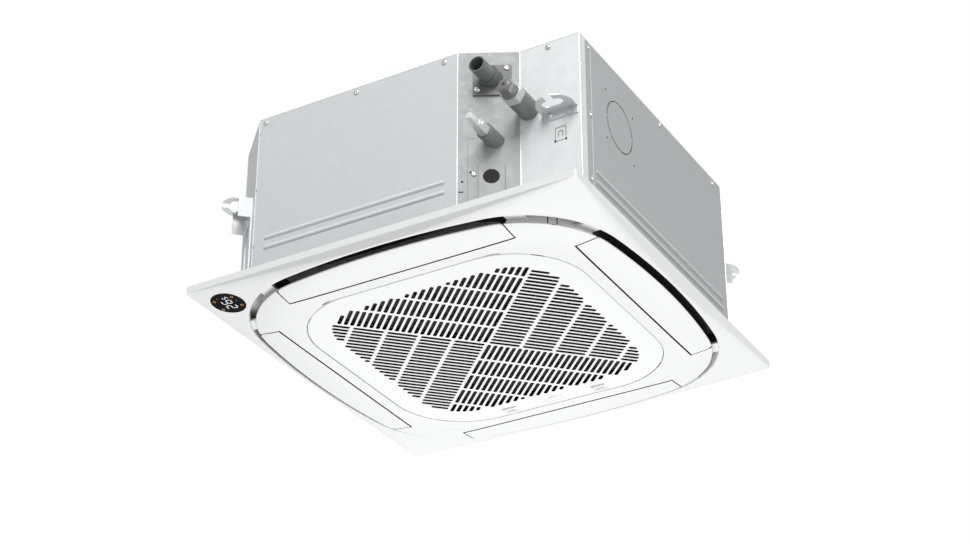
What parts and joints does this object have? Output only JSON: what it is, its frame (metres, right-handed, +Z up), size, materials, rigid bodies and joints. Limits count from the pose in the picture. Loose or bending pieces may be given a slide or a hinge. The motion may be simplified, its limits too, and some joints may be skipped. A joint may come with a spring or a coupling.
{
  "type": "ceiling cassette air conditioner",
  "caption": "Compact four-way ceiling cassette air conditioner with a square grille panel, hinged louvres, a turbo fan and side pipe connections.",
  "frame": {"origin": "centre of the panel on the ceiling plane, which is the top face of the panel's rim", "axes": "+Z up into the ceiling, -Y towards the front side with the screws and ribs, +X towards the side of the fresh air knock-out; the pipes leave at the (+X, -Y) corner"},
  "size_m": [0.62, 0.645, 0.2946],
  "materials": {
    "galvanised_sheet": "zinc coated, satin",
    "lug_steel": "zinc coated, satin",
    "screw_steel": "bright plated",
    "liner_foam": "matt foam",
    "motor_can": "satin black",
    "black_rubber": "matt",
    "fan_plastic": "satin",
    "coil_aluminium": "satin fins",
    "copper": "drawn copper tube",
    "pan_plastic": "moulded foam with a smooth skin",
    "black_plastic": "satin",
    "grey_plastic": "satin",
    "sleeve_foam": "matt closed cell foam",
    "plated_brass": "bright plated",
    "board_green": "satin",
    "panel_white": "fine satin grain",
    "duct_grey": "matt",
    "motor_steel": "satin",
    "filter_grey": "woven net in a frame",
    "display_black": "glossy"
  },
  "bodies": {
    "unit": {"top_plate": "galvanised_sheet", "front_panel": "galvanised_sheet", "left_panel": "galvanised_sheet", "back_panel": "galvanised_sheet", "right_panel": "galvanised_sheet", "corner_plates": "galvanised_sheet", "piping_plate": "galvanised_sheet", "wiring_plate": "galvanised_sheet", "wiring_cover": "galvanised_sheet", "wiring_knockout": "galvanised_sheet", "inspection_plate": "galvanised_sheet", "hanger_lugs": "lug_steel", "casing_screws": "screw_steel", "foam_liner": "liner_foam", "fan_motor": "motor_can", "motor_bushes": "black_rubber", "coil_fins": "coil_aluminium", "coil_tubes": "copper", "drain_pan": "pan_plastic", "bell_mouth": "fan_plastic", "drain_pump": "black_plastic", "float_switch": "black_plastic", "drain_hose": "black_rubber", "drain_flange": "black_plastic", "drain_pipe": "grey_plastic", "gas_pipe": "copper", "gas_sleeve": "sleeve_foam", "gas_nut": "plated_brass", "gas_cap": "plated_brass", "liquid_pipe": "copper", "liquid_sleeve": "sleeve_foam", "liquid_nut": "plated_brass", "liquid_cap": "plated_brass", "control_box": "lug_steel", "control_lid": "lug_steel", "circuit_board": "board_green", "panel_gasket": "liner_foam", "panel_rim": "panel_white", "panel_frame": "panel_white", "duct_front": "duct_grey", "duct_right": "duct_grey", "duct_back": "duct_grey", "duct_left": "duct_grey", "louvre_motors": "motor_steel", "display_window": "display_black", "panel_screws": "screw_steel"},
    "fan": {"fan_wheel": "fan_plastic", "fan_nut": "screw_steel", "motor_shaft": "screw_steel"},
    "pump_rotor": {"pump_impeller": "fan_plastic"},
    "float_ring": {"float": "fan_plastic"},
    "front_louvre": {"louvre_front": "panel_white"},
    "right_louvre": {"louvre_right": "panel_white"},
    "back_louvre": {"louvre_back": "panel_white"},
    "left_louvre": {"louvre_left": "panel_white"},
    "grille": {"intake_grille": "panel_white", "filter": "filter_grey", "centre_cover": "panel_white"},
    "left_latch": {"latch_left": "panel_white"},
    "right_latch": {"latch_right": "panel_white"}
  },
  "joints": [
    {"name": "fan_spin", "type": "hinge", "parent": "unit", "child": "fan", "pos_m": [0, 0, 0.15], "axis": [0, 0, 1], "continuous": true},
    {"name": "front_louvre_swing", "type": "hinge", "parent": "unit", "child": "front_louvre", "pos_m": [0, -0.24435, -0.0242], "axis": [1, 0, 0], "range_deg": [0, 55]},
    {"name": "right_louvre_swing", "type": "hinge", "parent": "unit", "child": "right_louvre", "pos_m": [0.24435, 0, -0.0242], "axis": [0, 1, 0], "range_deg": [0, 55]},
    {"name": "back_louvre_swing", "type": "hinge", "parent": "unit", "child": "back_louvre", "pos_m": [0, 0.24435, -0.0242], "axis": [-1, 0, 0], "range_deg": [0, 55]},
    {"name": "left_louvre_swing", "type": "hinge", "parent": "unit", "child": "left_louvre", "pos_m": [-0.24435, 0, -0.0242], "axis": [0, -1, 0], "range_deg": [0, 55]},
    {"name": "grille_swing", "type": "hinge", "parent": "unit", "child": "grille", "pos_m": [0, -0.216, -0.0266], "axis": [-1, 0, 0], "range_deg": [0, 75]},
    {"name": "left_latch_slide", "type": "slide", "parent": "grille", "child": "left_latch", "axis": [0, -1, 0], "range_m": [0, 0.006]},
    {"name": "right_latch_slide", "type": "slide", "parent": "grille", "child": "right_latch", "axis": [0, -1, 0], "range_m": [0, 0.006]},
    {"name": "pump_spin", "type": "hinge", "parent": "unit", "child": "pump_rotor", "pos_m": [0.188, -0.188, 0.04], "axis": [0, 0, 1], "continuous": true},
    {"name": "float_slide", "type": "slide", "parent": "unit", "child": "float_ring", "axis": [0, 0, 1], "range_m": [0, 0.012]}
  ]
}
